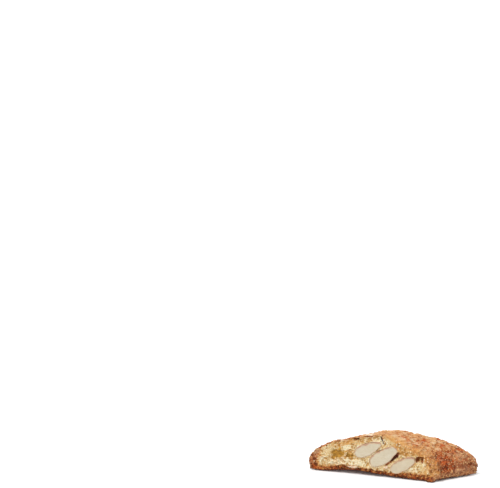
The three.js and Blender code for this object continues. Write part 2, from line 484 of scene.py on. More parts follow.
# Each mark on a cut face: across and up from the middle of its foot, turn in degrees, and
# its two radii, in mm.
NEAR_MARKS = {
    "syrup": (
        (-19.6, 11.6, 10, 4.2, 2.7), (-21.6, 9.4, 0, 1.8, 1.3), (-18.6, 14.2, 70, 1.6, 0.9),
        (-12.6, 11.2, 8, 3.3, 1.2), (-14.8, 13.0, 20, 1.2, 0.8),
    ),
    # Dark marks are painted shade: in gaps beside and under kernels and in a corner of the foot,
    # over hollows that are also pushed into the dough.
    "dark": (
        (14.0, 13.5, 48, 1.5, 0.7), (12.2, 11.7, 40, 3.4, 0.4), (12.4, 4.3, 30, 1.6, 0.5),
        (-36.0, 2.2, 60, 2.2, 1.0), (-26.0, 15.7, 0, 0.4, 0.4),
    ),
    "brown": (
        # The first brown mark is a painted shadow under the lifted flake at the top of the near
        # face.
        (-1.9, 23.8, 2, 3.0, 0.6), (-8.9, 21.8, 20, 1.2, 0.7), (26.3, 12.5, 72, 1.3, 0.8),
        (28.8, 12.5, 100, 1.7, 0.7), (10.2, 9.2, 40, 3.0, 0.5), (-5.2, 13.4, 60, 1.6, 0.6),
        (-33.6, 2.8, 0, 2.4, 1.2), (14.4, 14.0, 48, 1.7, 0.9), (27.5, 13.6, 8, 1.8, 0.6),
    ),
    "gold": (
        (-14.5, 18.6, 20, 6.5, 1.2), (4.5, 8.4, 40, 3.2, 0.7), (16.5, 17.2, -34, 5.5, 1.5),
        (24.0, 10.4, -30, 2.4, 1.0), (31.0, 6.0, -75, 3.5, 1.0), (27.6, 12.8, 0, 1.8, 1.2),
    ),
    "cream": (
        (-14.0, 6.6, 4, 11.5, 2.2), (-7.5, 16.8, 20, 3.2, 1.2), (-14.4, 15.8, 20, 2.6, 1.6),
        (22.6, 5.4, 10, 4.2, 1.8), (4.6, 21.0, 0, 5.0, 1.7), (10.2, 5.6, 0, 1.6, 1.2),
        (-28.4, 7.4, 60, 3.2, 1.2), (30.8, 10.0, 80, 3.6, 0.8),
    ),
    "flake": ((-10.6, 4.4, 2, 3.1, 0.8), (-1.7, 25.0, 4, 2.8, 0.7), (8.4, 6.4, 10, 1.3, 0.9)),
}
FAR_MARKS = {
    "syrup": ((-11.4, 6.2, 10, 3.4, 1.4), (27.0, 6.0, 30, 2.2, 1.6)),
    # The dark marks on this face are painted shade in gaps as well.
    "dark": ((13.8, 13.0, -24, 2.2, 0.6), (2.0, 18.2, 8, 2.2, 0.4)),
    "brown": ((-28.0, 8.2, 60, 2.0, 1.2), (13.8, 13.2, -24, 2.5, 1.6)),
    "gold": ((14.5, 15.4, -24, 6.0, 1.4), (-18.0, 17.4, 24, 5.0, 1.4), (-26.0, 6.0, 30, 2.0, 2.0)),
    "cream": ((14.0, 16.6, -12, 5.0, 1.3), (-12.0, 18.0, 14, 4.0, 1.2), (8.0, 3.4, 0, 7.0, 1.2)),
    "flake": ((-4.0, 20.6, -6, 2.4, 0.6), (20.0, 4.2, 8, 2.0, 0.6)),
}
# The crack in the top of the near face, across and up, from its foot to its mouth.
CRACK = ((6.8, 20.5), (5.9, 22.6), (5.3, 24.3))
CRACK_REACH_MM = 3  # how far it goes in from that face
OUT_OF_REACH_MM = 30.0  # farther than any mask looks
# The sharp corner at the near face's foot, across.
TOE_ACROSS = 34.3
# The browned layer's thickness under the dome and over the base, and what a face's blunt end
# and its sharp end add to each.
CRUST_MM, BLUNT_CRUST_MM, SHARP_CRUST_MM = 0.8, 3.5, 1.2
BASE_MM, BLUNT_BASE_MM, SHARP_BASE_MM = 2.3, 0.7, 2.0


def section(places):
    """Across and up places in mm, with across counted along the slant, and share inward."""
    inward = (places[:, 1] - NEAR_Y) / (FAR_Y - NEAR_Y)
    across = (places[:, 0] - NEAR_X - SLANT * inward) / MM
    return across, places[:, 2] / MM, inward


def on_face(places, far):
    """Across and up places of points, in mm, from the middle of one cut face's foot."""
    return (places[:, 0] - NEAR_X - SLANT * far) / MM, places[:, 2] / MM


def from_cut_face(inward):
    """Distance in mm from the nearer cut face."""
    return np.minimum(inward, 1 - inward) * (FAR_Y - NEAR_Y) / MM


def marked(places, kind, wobble):
    """How far each point lies inside the marks of one kind, from 0 to 1, with torn edges."""
    inward = section(places)[2]
    inside = np.zeros(len(places))
    for far, marks in enumerate((NEAR_MARKS, FAR_MARKS)):
        across, up = on_face(places, far)
        face = inward > 0.75 if far else inward < 0.25
        for x, z, turn, long, short in marks[kind]:
            cosine, sine = cos(radians(turn)), sin(radians(turn))
            along = ((across - x) * cosine + (up - z) * sine) / long
            off = ((up - z) * cosine - (across - x) * sine) / short
            ragged = min(0.45, 0.2 + 0.1 * short)
            reach = np.hypot(along, off) + ragged * wobble
            inside = np.maximum(inside, face * fade(reach, 0.75, 1.2))
    return inside


def from_crack(places):
    """Distance in mm from the crack in the top of the near face."""
    across, up = on_face(places, False)
    away = np.full(len(places), OUT_OF_REACH_MM)
    for (x0, z0), (x1, z1) in zip(CRACK, CRACK[1:]):
        share = (across - x0) * (x1 - x0) + (up - z0) * (z1 - z0)
        share = np.clip(share / ((x1 - x0) ** 2 + (z1 - z0) ** 2), 0, 1)
        gap = np.hypot(across - x0 - share * (x1 - x0), up - z0 - share * (z1 - z0))
        away = np.minimum(away, gap)
    beyond = places[:, 1] > NEAR_Y + CRACK_REACH_MM * MM
    return away + 0.25 * drift(places, 0.9) + OUT_OF_REACH_MM * beyond


def near_toe(places):
    """How close each point is to the toe: 1 on it, 0 well away."""
    across, up = on_face(places, False)
    inward_mm = (places[:, 1] - NEAR_Y) / MM
    away = np.sqrt((across - TOE_ACROSS) ** 2 + (1.3 * up) ** 2 + inward_mm ** 2)
    return fade(away, 1.4, 3.6)


# ---- Materials ----

# The almond's colour is times these where its flesh is warmer and where it is rosy.
WARM, ROSE = (0.84, 0.77, 0.66), (0.93, 0.76, 0.6)


def crumb_colour(tree, colours, high, grain, place):
    """Crumb: pale where raised and darker in hollows, as painted light and shade; darker in moist
    patches and in pores, which are moist and in painted shade; tan next to a kernel.
    """
    pore, gold = kept(tree, "pore"), kept(tree, "gold")
    broad, patch = grains(tree, place, 7.0), grains(tree, place, 3.2)
    # The relief paints light on raised crumb and shade in its hollows.
    tone = total(
        tree, (high, 0.4), (broad, 0.3), (patch, 0.4), (grain["Broad"], 0.6),
        (grain["Fine"], 1.9), (kept(tree, "cream"), 0.35), (gold, -0.25),
        (kept(tree, "ridge"), -0.05), bias=-1.05,
    )
    made = blend(tree, ramp(tree, tone, 0.05, 0.5), colours.mustard, colours.crumb)
    made = blend(tree, ramp(tree, tone, 0.5, 0.95), made, colours.cream)
    made = cover(tree, made, colours.golden, gold, 0.5)
    specks = ramp(tree, grains(tree, place, 0.9, seed=11), 0.6, 0.7)
    made = cover(tree, made, colours.golden, specks, 0.5)
    pinkish = ramp(tree, grains(tree, place, 0.9, seed=13), 0.4, 0.6)
    pinkish = sums(tree, "MULTIPLY", pinkish, kept(tree, "by_kernel"))
    made = cover(tree, made, colours.tan, pinkish, 0.35)
    # Pores darken toward mustard as they deepen: moist crumb, and painted shade in the hollow.
    inside = blend(tree, pore, colours.golden, colours.mustard)
    return cover(tree, made, inside, pore, 0.42)


def crust_colour(tree, colours, high, grain, place):
    """Crust: pale film on the highest parts and darker rust on the flanks, partly real and partly
    painted light and shade from above; scorched cracks.
    """
    drawn = scaled(tree, place, (0.14, 0.4, 0.8))
    streak, dash = grains(tree, drawn, 1.1, detail=2), grains(tree, drawn, 0.9, seed=5)
    ridge, flank, foot = kept(tree, "ridge"), kept(tree, "flank"), kept(tree, "foot")
    broad, patch = grains(tree, place, 6.0, seed=2), grains(tree, place, 2.8, seed=2)
    # Raised parts and the ridge are painted lighter, hollows and the flanks darker: painted light
    # from above and painted shade, over the crust's own browning.
    tone = total(
        tree, (high, 0.4), (ridge, 0.2), (broad, 0.5), (patch, 0.8), (grain["Broad"], 0.7),
        (grain["Fine"], 0.8), (streak, 1.4), (flank, -0.12), bias=-1.61,
    )
    made = blend(tree, ramp(tree, tone, 0.2, 0.42), colours.bake, colours.crust)
    made = blend(tree, ramp(tree, tone, 0.5, 0.76), made, colours.film)
    rusty = total(tree, (broad, 1.6), (patch, 1.4), (flank, 0.5), bias=-1.4)
    rusty = sums(tree, "MULTIPLY", ramp(tree, rusty, 0.14, 0.38), 0.95)
    made = blend(tree, rusty, made, colours.rust)
    made = cover(tree, made, colours.rust, kept(tree, "seam"), 0.75)
    dust = ramp(tree, tone, 0.1, 0.6, start=0.5, end=0.85)
    made = cover(tree, made, colours.tan, foot, dust)

    # Dry specks, fainter on rust, and pale streaks, stronger on the ridge, that are dry glaze and
    # painted highlight both.
    specks = ramp(tree, grains(tree, place, 0.8, seed=3, detail=1.5), 0.53, 0.6)
    made = cover(tree, made, colours.film, specks, total(tree, (rusty, -0.65), bias=0.7))
    dry_and_highlight = tuple(0.5 * (a + b) for a, b in zip(colours.film, colours.cream))
    pale = ramp(tree, grains(tree, drawn, 1.0, seed=8, detail=2), 0.53, 0.59)
    made = cover(tree, made, dry_and_highlight, pale, total(tree, (ridge, 0.2), bias=0.45))

    # Dark dashes and pits, fainter near the foot, and dots, fainter on the ridge.
    open_air = total(tree, (foot, -0.3), bias=0.85)
    made = cover(tree, made, colours.bake, ramp(tree, dash, 0.6, 0.66), open_air)
    dots = grains(tree, place, 0.9, seed=17, detail=1.5)
    dots = ramp(tree, dots, 0.34, 0.4, start=1, end=0)
    made = cover(tree, made, colours.scorch_and_shade, dots, total(tree, (ridge, -0.25), bias=0.6))
    # Pits lean into hollows, so they are painted shade as well as scorch.
    pits = total(tree, (grains(tree, place, 2.2, seed=7), 1), (high, 0.14), (ridge, 0.07))
    pits = ramp(tree, pits, 0.36, 0.46, start=1, end=0)
    return cover(tree, made, colours.scorch_and_shade, pits, open_air)


def side_colour(tree, colours, tone, place):
    """The browned layer over the base, as a cut face shows it."""
    made = blend(tree, ramp(tree, tone, 0.1, 0.42), colours.scorch_and_shade, colours.bake)
    made = blend(tree, ramp(tree, tone, 0.38, 0.6), made, colours.rust)
    made = blend(tree, ramp(tree, tone, 0.7, 0.86), made, colours.golden)
    streaks = ramp(tree, grains(tree, place, 1.1, seed=23, detail=2), 0.5, 0.6, end=0.6)
    return blend(tree, streaks, made, colours.golden)


def baked(tree, golden, reach, inner, outer, gold_ends):
    """From the crust inwards: brown, then golden, then crumb."""
    gold = ramp(tree, sums(tree, "MULTIPLY", reach, 0.5), 0.4, gold_ends)
    inner = blend(tree, gold, golden, inner)
    return blend(tree, ramp(tree, reach, 0.65, 0.95), outer, inner)


def with_marks(tree, colours, tone, body):
    """The dough with its glassy syrup, brown hollows of char, dark gaps and pale flakes. The dark
    gaps, the crack and the edges beside kernels are painted shade, and so is one brown line under
    a flake.
    """
    burnt = shaded(colours.syrup, 0.45)
    glass = blend(tree, ramp(tree, tone, 0.25, 0.55), burnt, colours.syrup)
    glass = blend(tree, ramp(tree, tone, 0.62, 0.85, end=0.7), glass, colours.crumb)
    char = blend(tree, ramp(tree, tone, 0.25, 0.6), colours.bake, colours.rust)
    char = blend(tree, ramp(tree, tone, 0.6, 0.8), char, colours.golden)
    body = cover(tree, body, glass, kept(tree, "syrup"), 0.92)
    body = cover(tree, body, char, kept(tree, "brown"), 0.85)
    # The dark marks paint shade into gaps, the crack and beside kernels.
    body = cover(tree, body, colours.scorch_and_shade, kept(tree, "dark"), 0.92)
    return cover(tree, body, colours.flake, kept(tree, "flake"), 0.9)


def dough_material(colours):
    """Pale crumb on the cut faces, browned by depth to the crust, darker on the base."""
    made, tree = new_material("Baked dough")
    place, high = in_mm(tree), kept(tree, "relief")
    grain = mottle(tree, 1.6, 0.5, 0)
    crumb = crumb_colour(tree, colours, high, grain, place)
    crust = crust_colour(tree, colours, high, grain, place)
    # The relief paints light and shade into the browned layer and the base too.
    tone = total(tree, (high, 0.3), (grain["Broad"], 1.3), (grain["Fine"], 0.8), bias=-0.65)
    base = blend(tree, ramp(tree, tone, 0.2, 0.8), colours.scorch_and_shade, colours.bake)
    # The lowest edge of the band and of the crust is painted near black: real charring, and
    # painted shadow where the slice meets the floor.
    char_and_foot_shade = shaded(colours.scorch_and_shade, 0.35)
    edge = ramp(tree, kept(tree, "over_base"), 0.06, 0.28, start=0.92, end=0)
    side = blend(tree, edge, side_colour(tree, colours, tone, place), char_and_foot_shade)

    # The crumb browns at an uneven depth: under the dome, then over the base.
    uneven = total(tree, (grain["Broad"], 1.3), (grain["Fine"], 0.8), bias=-1.05)
    under_dome = total(tree, (uneven, 1.0), bias=kept(tree, "under_dome"))
    over_base = total(tree, (uneven, 0.6), bias=kept(tree, "over_base"))
    light = ramp(tree, tone, 0.2, 0.5, start=0.35, end=0.9)
    crust = cover(tree, crust, colours.golden, kept(tree, "rim"), light)
    body = baked(tree, colours.golden, under_dome, crumb, crust, 0.85)
    body = baked(tree, colours.golden, over_base, body, side, 0.6)

    # Outside it is crust and base, and the marks lie over it all.
    crust = cover(tree, crust, base, kept(tree, "toe"), 0.9)
    # The crust's lowest edge gets the same char and painted contact shadow.
    crust = blend(tree, edge, crust, char_and_foot_shade)
    body = blend(tree, kept(tree, "crust"), body, crust)
    body = blend(tree, kept(tree, "base"), body, base)
    body = with_marks(tree, colours, tone, body)

    rough = total(
        tree, (kept(tree, "crust"), -0.15), (kept(tree, "syrup"), -0.35),
        (grain["Fine"], 0.15), bias=0.75,
    )
    height = total(tree, (grains(tree, place, 0.22), 0.5), (grain["Height"], 1))
    surface(
        tree, Base_Color=body, Roughness=rough, Subsurface_Weight=0.1,
        Subsurface_Radius=(1.0, 0.6, 0.3), Subsurface_Scale=0.5 * MM,
        Normal=fine_bump(tree, height, 0.5), Specular_IOR_Level=0.22,
    )
    return made


def almond_material(colours):
    """Cream, waxy cut kernel with a blush under its thin brown skin."""
    made, tree = new_material("Cut almond")
    grain = mottle(tree, 2.2, 0.35, 4)
    fibre = grains(tree, scaled(tree, in_mm(tree), (0.5, 1, 1.6)), 1.0, seed=9)
    edge = total(tree, (kept(tree, "from_skin"), 1), (grain["Broad"], 0.6), bias=-0.3)
    tone = total(tree, (grain["Fine"], 0.35), (grain["Broad"], 0.4), (fibre, 0.5), bias=-0.12)
    warm, rosy = shaded(colours.almond, WARM), shaded(colours.almond, ROSE)
    flesh = blend(tree, ramp(tree, tone, 0.3, 0.62), warm, colours.almond)
    flesh = cover(tree, flesh, rosy, kept(tree, "rosy"), fibre)
    flesh = blend(tree, ramp(tree, edge, 0.2, 0.7), rosy, flesh)
    dark = shaded(colours.skin, 0.75)
    skin = blend(tree, ramp(tree, grain["Fine"], 0.35, 0.65), dark, colours.skin)
    body = blend(tree, ramp(tree, edge, 0.14, 0.32), skin, flesh)
    surface(
        tree, Base_Color=body, Roughness=0.5, Subsurface_Weight=0.2,
        Subsurface_Radius=(1.0, 0.75, 0.5), Subsurface_Scale=1.0 * MM,
        Normal=fine_bump(tree, grain["Height"], 0.12),
    )
    return made


def grain_material(name, light, dark, rough):
    """Small grains whose tint runs from light to dark."""
    made, tree = new_material(name)
    grain = mottle(tree, 0.8, 0.25, 6)
    tint = blend(tree, kept(tree, "tint"), light, dark)
    body = cover(tree, tint, dark, grain["Fine"], 0.35)
    surface(
        tree, Base_Color=body, Roughness=rough, Subsurface_Weight=0.15,
        Subsurface_Scale=0.4 * MM, Normal=fine_bump(tree, grain["Height"], 0.05),
    )
    return made


# ---- Dough ----

PORE_SEED = 21
PORE_SPREAD, LARGEST_PORE = 0.42, 2.7  # both against the common radius
PORE_STRETCH = (1, 1.9)
PORE_DEPTH = 1.0 * MM  # of the deepest
RELIEF_ROUNDS = 8  # of smoothing, to tell relief from shape
RAY_START_MM = 0.4  # off the surface
SIDE_REACH_MM, FACE_REACH_MM = 3.4, 1.8  # how far in the base's edges lift
# Across, where the near foot's extra lift starts and is full, and where it ends.
WARP_START, WARP_END = (-31, -20), (-10, 4)


def curl_edges(piece, height, warp):
    """Lifts the base's edges, all but the toe, and the near foot left of its middle."""
    places, normals = points(piece)
    across, up, inward = section(places)
    wall = (up < 2) & (np.hypot(normals[:, 0], normals[:, 1]) > 0.7)
    side = wall & (np.abs(normals[:, 0]) > 0.5)
    along_side = fade(nearest_mm(places, places[side])[0], 0, SIDE_REACH_MM)
    along_face = 0.8 * fade(from_cut_face(inward), 0, FACE_REACH_MM)
    lift = height * np.maximum(along_side, along_face) * (1 - near_toe(places))
    arch = ease(across, *WARP_START) * fade(across, *WARP_END) * fade(inward, 0, 0.4)
    places[:, 2] += (lift + warp * arch) * fade(up, 0, 6)
    move(piece, places)


def kernel_points():
    """The corners of all the kernels."""
    nodes = [frame["nodes"][name] for name in KERNELS]
    return np.array([
        node.matrix_world @ corner.co for node in nodes for corner in node.data.vertices
    ])


def crust_mask(piece):
    """1 where the loaf's baked outside shows, 0 on cut faces and in their hollows."""
    places, normals = points(piece)
    tree = BVHTree.FromObject(piece, bpy.context.evaluated_depsgraph_get())
    outside = np.zeros(len(places))
    for way in ((0, 0, 1), (0, 0, -1), (1, 0, 0), (-1, 0, 0)):
        facing = normals @ np.array(way)
        ray = Vector(way)
        for index in np.flatnonzero(facing > 0.3):
            start = Vector(places[index]) + ray * RAY_START_MM * MM
            if tree.ray_cast(start, ray)[0] is None:
                outside[index] = 1
    return outside


def pore_depths(places, normals, count, common):
    """Depth in mm, at each point, of oval pores opened at random in the cut faces."""
    rng = np.random.default_rng(PORE_SEED)
    edge = np.minimum(places[:, 1] - NEAR_Y, FAR_Y - places[:, 1])
    open_face = np.flatnonzero((edge < 0.6 * MM) & (np.abs(normals[:, 1]) > 0.7))
    chance = 0.08 + ease(drift(places[open_face], 4), -0.2, 0.35)
    tree = search_tree(places)
    depth = np.zeros(len(places))
    for centre in pick(rng, open_face, count, chance):
        radius = common * min(rng.lognormal(0, PORE_SPREAD), LARGEST_PORE)
        stretch, turn = rng.uniform(*PORE_STRETCH), rng.uniform(0, pi)
        reached = [index for _, index, _ in tree.find_range(places[centre], radius * 2)]
        dx, dy, dz = (places[reached] - places[centre]).T
        along, off = dx * cos(turn) + dz * sin(turn), dz * cos(turn) - dx * sin(turn)
        away = np.sqrt((along / stretch) ** 2 + (off * stretch ** 0.3) ** 2 + dy ** 2) / radius
        hole = 1.1 * radius / MM * np.sqrt(np.clip(1 - away ** 2, 0, 1))
        depth[reached] = np.maximum(depth[reached], hole)
    return depth


class Survey:
    """Where each point of the dough lies and what it belongs to. Distances are in mm."""

    def __init__(self, piece):
        self.places, self.normals = points(piece)
        self.across, self.up, self.inward = section(self.places)
        # Each face has a blunt end and a sharp one, and the near face's blunt end is left.
        self.blunt = np.where(self.inward < 0.5, -self.across, self.across)
        self.sharp = -self.blunt
        self.outside = crust_mask(piece)
        facing_down = ease(-self.normals[:, 2], 0.4, 0.8)
        self.base = self.outside * facing_down * fade(self.up, 2.2, 3.0)
        self.dome = self.outside * (1 - self.base)
        self.toe = near_toe(self.places)
        self.from_cut = from_cut_face(self.inward)
        self.from_crack = from_crack(self.places)
        self.from_kernel = nearest_mm(self.places, kernel_points())[0]
        self.from_dome = nearest_mm(self.places, self.places[self.dome > 0.5])[0]
        self.from_base = nearest_mm(self.places, self.places[self.base > 0.5])[0]
        self.whole = 1 - fade(self.from_crack, 0.45, 0.8)

    def marks(self, piece):
        """How strongly each kind of mark shows. Only flakes reach over the rim."""
        bare = 1 - smoothed(piece, self.outside * self.whole, 1)
        wobble = drift(self.places, 1.3)
        shares = {kind: marked(self.places, kind, wobble) for kind in NEAR_MARKS}
        for kind in shares:
            shares[kind] *= fade(self.from_cut, 0.8, 1.8) if kind == "flake" else bare
        # The crack gets the dark marks' colour: painted shade inside the groove that is pushed in
        # along it.
        shares["dark"] = np.maximum(shares["dark"], bare * fade(self.from_crack, 0.2, 0.6))
        return shares

    def crust_thickness(self):
        """Thickness in mm of the browned layer under the dome, most at the blunt nose."""
        nose = ease(self.blunt, 27, 33) * fade(self.up, 9, 17)
        return CRUST_MM + BLUNT_CRUST_MM * nose + SHARP_CRUST_MM * ease(self.sharp, 6, 24)

    def base_thickness(self):
        """Thickness in mm of the browned layer over the base."""
        blunt, sharp = ease(self.blunt, 9, 14), ease(self.sharp, 10, 22)
        return BASE_MM + BLUNT_BASE_MM * blunt + SHARP_BASE_MM * sharp


def keep_masks(piece, at, marks, depth):
    """Stores what the dough's material reads."""
    masks = {
        **marks,
        "under_dome": at.from_dome / at.crust_thickness(),
        "over_base": at.from_base / at.base_thickness(),
        "crust": smoothed(piece, at.dome * at.whole, 2),
        "base": smoothed(piece, at.base, 2),
        # Ridge and flank steer painted light on the crust's top and painted shade on its flanks.
        "ridge": ease(at.up, 7, 21) * 2 - 1,
        "flank": ease(at.up, 3, 7) * fade(at.up, 12, 17),
        "foot": np.maximum(fade(at.up, 3, 6.5), ease(at.blunt, 27, 32)),
        "toe": at.toe,
        "by_kernel": fade(at.from_kernel, 0.4, 1.6),
        "seam": fade(at.from_cut, 0.4, 1.6) * ease(at.blunt, 6, 12) * fade(at.blunt, 27, 30),
        "rim": fade(at.from_cut, 0.3, 5) * ease(at.sharp, 2, 12) * ease(at.up, 2, 6),
        "pore": ease(depth, 0.05, 0.9),
    }
    for name, values in masks.items():
        store(piece, name, values)


def weigh_relief(piece, at, marks, calm, depth):
    """Keeps where each kind of relief goes, and how much of it, as vertex groups."""
    crust = at.dome * at.whole * ease(at.up, 0.4, 1.6)
    crust *= 0.4 + 0.6 * ease(at.from_cut, 0, 1.4)
    crust = np.maximum(crust, 0.7 * at.toe * (1 - at.base))
    coarse = (0.25 + 0.75 * fade(at.up, 13, 24)) * (1 - 0.5 * ease(at.blunt, 25, 31))
    hollow = np.maximum(0.35 * marks["dark"], 0.25 * marks["brown"])
    worn = fade(at.from_cut, 0.4, 1.8) * fade(at.from_dome, 0.4, 1.8) * ease(at.sharp, 4, 16)
    weights = {
        "crust": crust,
        "pebbly": crust * coarse,
        "base": at.base,
        "crumb": (1 - at.outside) * calm,
        "pores": depth,
        "flake": marks["flake"],
        "toe": at.toe * (1 - at.base),
        "gaps": np.maximum(hollow, 0.7 * fade(at.from_crack, 0.05, 0.55)),
        "worn": worn * ease(at.up, 2, 4),
    }
    for name, shares in weights.items():
        group(piece, name, shares)


def roughen(piece, sizes):
    """Gives the dough its relief, the crust's from broad to fine and then the crumb's."""
    swell = texture("Crust swell", "CLOUDS", 3.6, noise_depth=2)
    knobs = texture("Crust knobs", "VORONOI", 3.4, noise_intensity=1.1)
    pebbles = texture("Crust pebbles", "VORONOI", 1.6, noise_intensity=1.3)
    grit = texture("Grit", "CLOUDS", 0.8, noise_type="HARD_NOISE", noise_depth=3)
    clump = texture("Crumb clumps", "CLOUDS", 2.2, noise_depth=2)
    apply(piece, "SMOOTH", factor=0.5, iterations=14, vertex_group="worn")
    push(piece, sizes.swell, "crust", swell, 0.45)
    push(piece, -sizes.knob, "pebbly", knobs, 0.45)
    push(piece, -sizes.pebble, "pebbly", pebbles, 0.45)
    push(piece, sizes.crust_grit, "crust", grit, 0.4)
    push(piece, -sizes.base_grit, "base", pebbles)
    push(piece, -PORE_DEPTH, "pores")
    push(piece, -sizes.gap, "gaps")
    push(piece, sizes.flake, "flake")
    push(piece, sizes.toe, "toe")
    push(piece, -sizes.crumb_clump, "crumb", clump, 0.4)
    push(piece, sizes.crumb_grit, "crumb", grit, 0.5)
    apply(piece, "SMOOTH", factor=0.25, iterations=1)


class BISCOTTO_OT_dough(bpy.types.Operator):
    """Make the slice's dough: crumb on both cut faces inside its baked crust"""

    bl_idname = "biscotto.dough"
    bl_label = "Dough"

    def execute(self, context):
        sizes = context.scene.biscotto_sizes
        piece = cad_copy("biscuit", "dough")
        apply(piece, "REMESH", mode="VOXEL", voxel_size=sizes.dough_step)
        apply(piece, "SMOOTH", factor=0.5, iterations=6)
        curl_edges(piece, sizes.curl, sizes.warp)

        # The crumb is calmer in the crack, in syrup and gaps, and next to a kernel.
        at = Survey(piece)
        marks = at.marks(piece)
        calm = at.whole * (1 - 0.5 * marks["syrup"]) * (1 - 0.5 * marks["dark"])
        calm *= 0.35 + 0.65 * ease(at.from_kernel, 0.5, 1.8)
        depth = pore_depths(at.places, at.normals, sizes.pores, sizes.pore) * calm
        keep_masks(piece, at, marks, depth)
        weigh_relief(piece, at, marks, calm, depth)
        roughen(piece, sizes)
        flatten(piece)
        triangles = 2 * len(piece.data.polygons)
        apply(piece, "DECIMATE", ratio=min(1, sizes.dough_faces / triangles))
        # The materials read this relief as painted light on raised points and painted shade in
        # hollows.
        store(piece, "relief", relief(piece, RELIEF_ROUNDS))
        finish(piece, dough_material(context.scene.biscotto_colours), "baked_dough", "biscuit")
        return {"FINISHED"}


# ---- Almonds ----


def on_cut_face(piece, node, reach_mm):
    """True for the points of a kernel that lie flat within this distance of its cut face."""
    places, normals = points(piece)
    face_y, way = (NEAR_Y, -1) if "near" in node else (FAR_Y, 1)
    return (normals[:, 1] * way > 0.7) & (np.abs(places[:, 1] - face_y) < reach_mm * MM)


def from_skin(piece, cut, blush):
    """Distance in mm from a kernel's skin, which reaches over the upper edge of its cut."""
    places, normals = points(piece)
    away, nearest = nearest_mm(places, places[~cut])
    upper = ease(normals[~cut][nearest][:, 2], 0.1, 0.9) * ease(drift(places, 3), -0.5, 0.4)
    return (away - upper * blush / MM) * cut


class BISCOTTO_OT_almonds(bpy.types.Operator):
    """Make the cut almonds of both faces, each in its skin"""

    bl_idname = "biscotto.almonds"
    bl_label = "Almonds"

    def execute(self, context):
        sizes = context.scene.biscotto_sizes
        material = almond_material(context.scene.biscotto_colours)
        folds = texture("Skin", "CLOUDS", 1.6, noise_depth=2)
        bulge = texture("Bulge", "CLOUDS", 4.5, noise_depth=1)
        for node, rosy in zip(KERNELS, ROSY):
            piece = cad_copy(node, node.replace("almond", "kernel"))
            apply(piece, "REMESH", mode="VOXEL", voxel_size=sizes.kernel_step)
            apply(piece, "SMOOTH", factor=0.5, iterations=3)
            cut = on_cut_face(piece, node, 0.35)
            group(piece, "buried", smoothed(piece, 1.0 - cut, 1))
            group(piece, "cut", cut)
            push(piece, sizes.snug, "buried")
            push(piece, -sizes.skin, "buried", folds, 0.5)
            push(piece, sizes.bulge, "buried", bulge, 0.5)
            push(piece, 1.5 * sizes.skin, "cut", bulge, 0.5)
            cut = on_cut_face(piece, node, 0.6)
            store(piece, "from_skin", from_skin(piece, cut, sizes.blush))
            store(piece, "rosy", np.full(len(cut), rosy))
            finish(piece, material, "almond", node)
        return {"FINISHED"}


# ---- Sugar and crumbs ----

SUGAR_SEEDS = {"spots": 5, "grains": 7, "lump": 3}
CRUMB_SEEDS = {"spots": 11, "grains": 13, "lump": 8}
SUGAR_TINTS = (0.0, 0.05, 0.1, 0.25, 0.6, 1.0)  # from pale to caramel
CRUMB_TINTS = (0.1, 0.25, 0.4, 0.55, 0.7, 1.0)  # from cream to golden
GRAIN_SPREAD, TINT_SPREAD = 0.28, 0.06
GRAIN_STRETCH = (0.7, 1.3)
CLEAR_OF_FLOOR = 0.6 * MM


def scatter(name, grain, places, normals, seed, common, sink, tints):
    """One mesh of many copies of a grain, each turned, sized and tinted at random."""
    rng = np.random.default_rng(seed)
    corners = np.array([vertex.co for vertex in grain.data.vertices])
    faces = np.array([list(face.vertices) for face in grain.data.polygons])
    all_corners, all_faces, all_tints = [], [], []
    for number, (place, normal) in enumerate(zip(places, normals)):
        width = common * rng.lognormal(0, GRAIN_SPREAD)
        stretch = rng.uniform(*GRAIN_STRETCH, 3)
        turn = Euler(rng.uniform(0, tau, 3)).to_matrix()
        copy = (corners * stretch) @ np.array(turn).T * width / 2
        all_corners.append(copy + place + normal * (width * sink))
        all_faces.append(faces + number * len(corners))
        all_tints.append(np.full(len(corners), rng.choice(tints) + rng.normal(0, TINT_SPREAD)))
    mesh = bpy.data.meshes.new(name)
    mesh.from_pydata(np.concatenate(all_corners), [], np.concatenate(all_faces).tolist())
    piece = bpy.data.objects.new(name, mesh)
    bpy.context.scene.collection.objects.link(piece)
    store(piece, "tint", np.clip(np.concatenate(all_tints), 0, 1))
    bpy.data.objects.remove(grain)
    return piece


def lump(subdivisions, jag, seed):
    """An irregular grain about two units wide."""
    bpy.ops.object.select_all(action="DESELECT")
    bpy.ops.mesh.primitive_ico_sphere_add(subdivisions=subdivisions, radius=1)
    made = bpy.context.active_object
    bpy.ops.object.mode_set(mode="EDIT")
    bpy.ops.mesh.select_all(action="SELECT")
    bpy.ops.transform.vertex_random(offset=jag, uniform=1, seed=seed)
    bpy.ops.object.mode_set(mode="OBJECT")
    return made


